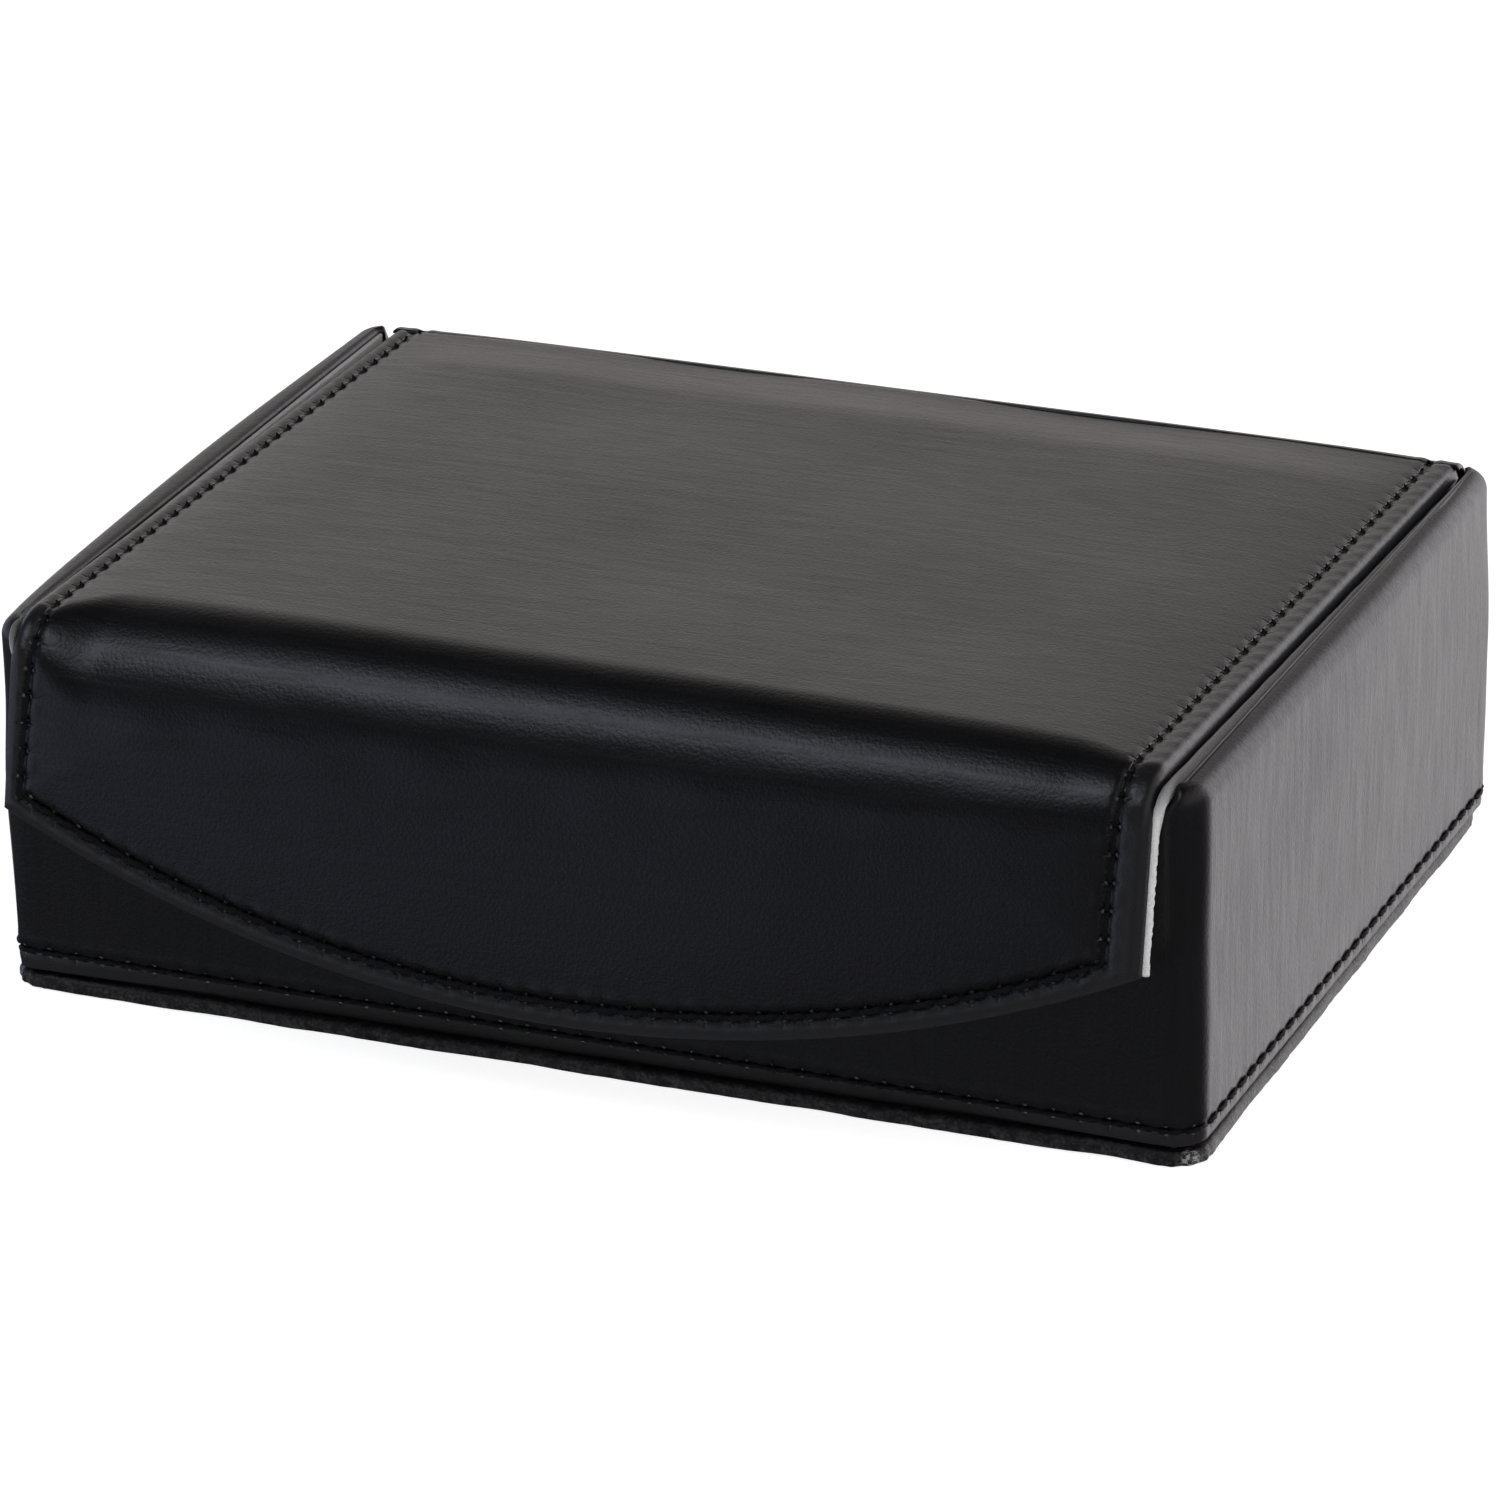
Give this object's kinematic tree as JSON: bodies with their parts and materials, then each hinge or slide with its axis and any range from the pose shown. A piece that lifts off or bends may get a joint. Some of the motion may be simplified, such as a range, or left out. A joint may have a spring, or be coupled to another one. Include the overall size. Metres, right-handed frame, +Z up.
{
  "type": "poker chip case",
  "caption": "Rectangular padded leatherette case with a stitched lid that folds down into a curved front flap, and a velvet-lined tray for rows of chips, cards and dice.",
  "frame": {"origin": "middle of the underside of the base, where the case rests", "axes": "+X along the width to the right, +Y to the back where the hinge is, +Z up; the flap is on the -Y side"},
  "size_m": [0.2518, 0.201, 0.0808],
  "materials": {
    "leatherette": "semi-gloss smooth leatherette with a fine grain",
    "base_wrap": "dull grained leatherette",
    "velvet": "light grey velvet lining",
    "thread": "black polyester thread",
    "foam": "soft padding foam",
    "board": "thin dark greyboard",
    "riser_foam": "firm filler foam",
    "magnet": "nickel-plated magnet",
    "steel": "bare steel disc"
  },
  "bodies": {
    "case": {"base_cover": "base_wrap", "base_board": "board", "front_wall_board": "board", "back_wall_board": "board", "left_wall_board": "board", "right_wall_board": "board", "front_wall_foam": "foam", "back_wall_foam": "foam", "left_wall_foam": "foam", "right_wall_foam": "foam", "front_wall_lining": "velvet", "back_wall_lining": "velvet", "left_wall_lining": "velvet", "right_wall_lining": "velvet", "wall_leather": "leatherette", "back_panel_leather": "leatherette", "hem_stitching": "thread", "back_stitching": "thread", "strike_plates": "steel", "tray_riser": "riser_foam", "left_chip_rack": "board", "right_chip_rack": "board", "left_rack_velvet": "velvet", "right_rack_velvet": "velvet", "front_tray_end": "velvet", "back_tray_end": "velvet", "left_well_side": "velvet", "right_well_side": "velvet", "well_divider": "velvet", "card_well_velvet": "velvet", "dice_well_velvet": "velvet", "rear_hinge_leather": "leatherette", "rear_hinge_lining": "velvet"},
    "lid": {"lid_board": "board", "lid_foam": "foam", "lid_leather": "leatherette", "lid_lining": "velvet", "lid_stitching": "thread", "front_fold_leather": "leatherette", "front_fold_lining": "velvet"},
    "flap": {"flap_board": "board", "flap_foam": "foam", "flap_leather": "leatherette", "flap_lining": "velvet", "flap_magnets": "magnet", "flap_stitching": "thread"}
  },
  "joints": [
    {"name": "lid_hinge", "type": "hinge", "parent": "case", "child": "lid", "pos_m": [0, 0.0904, 0.0748], "axis": [-1, 0, 0], "range_deg": [0, 105], "deforming": ["rear_hinge_leather", "rear_hinge_lining"]},
    {"name": "flap_fold", "type": "hinge", "parent": "lid", "child": "flap", "pos_m": [0, -0.09396, 0.07866], "axis": [-1, 0, 0], "range_deg": [-8, 78], "stiffness_Nm_per_rad": 0.4, "deforming": ["front_fold_leather", "front_fold_lining"]}
  ]
}
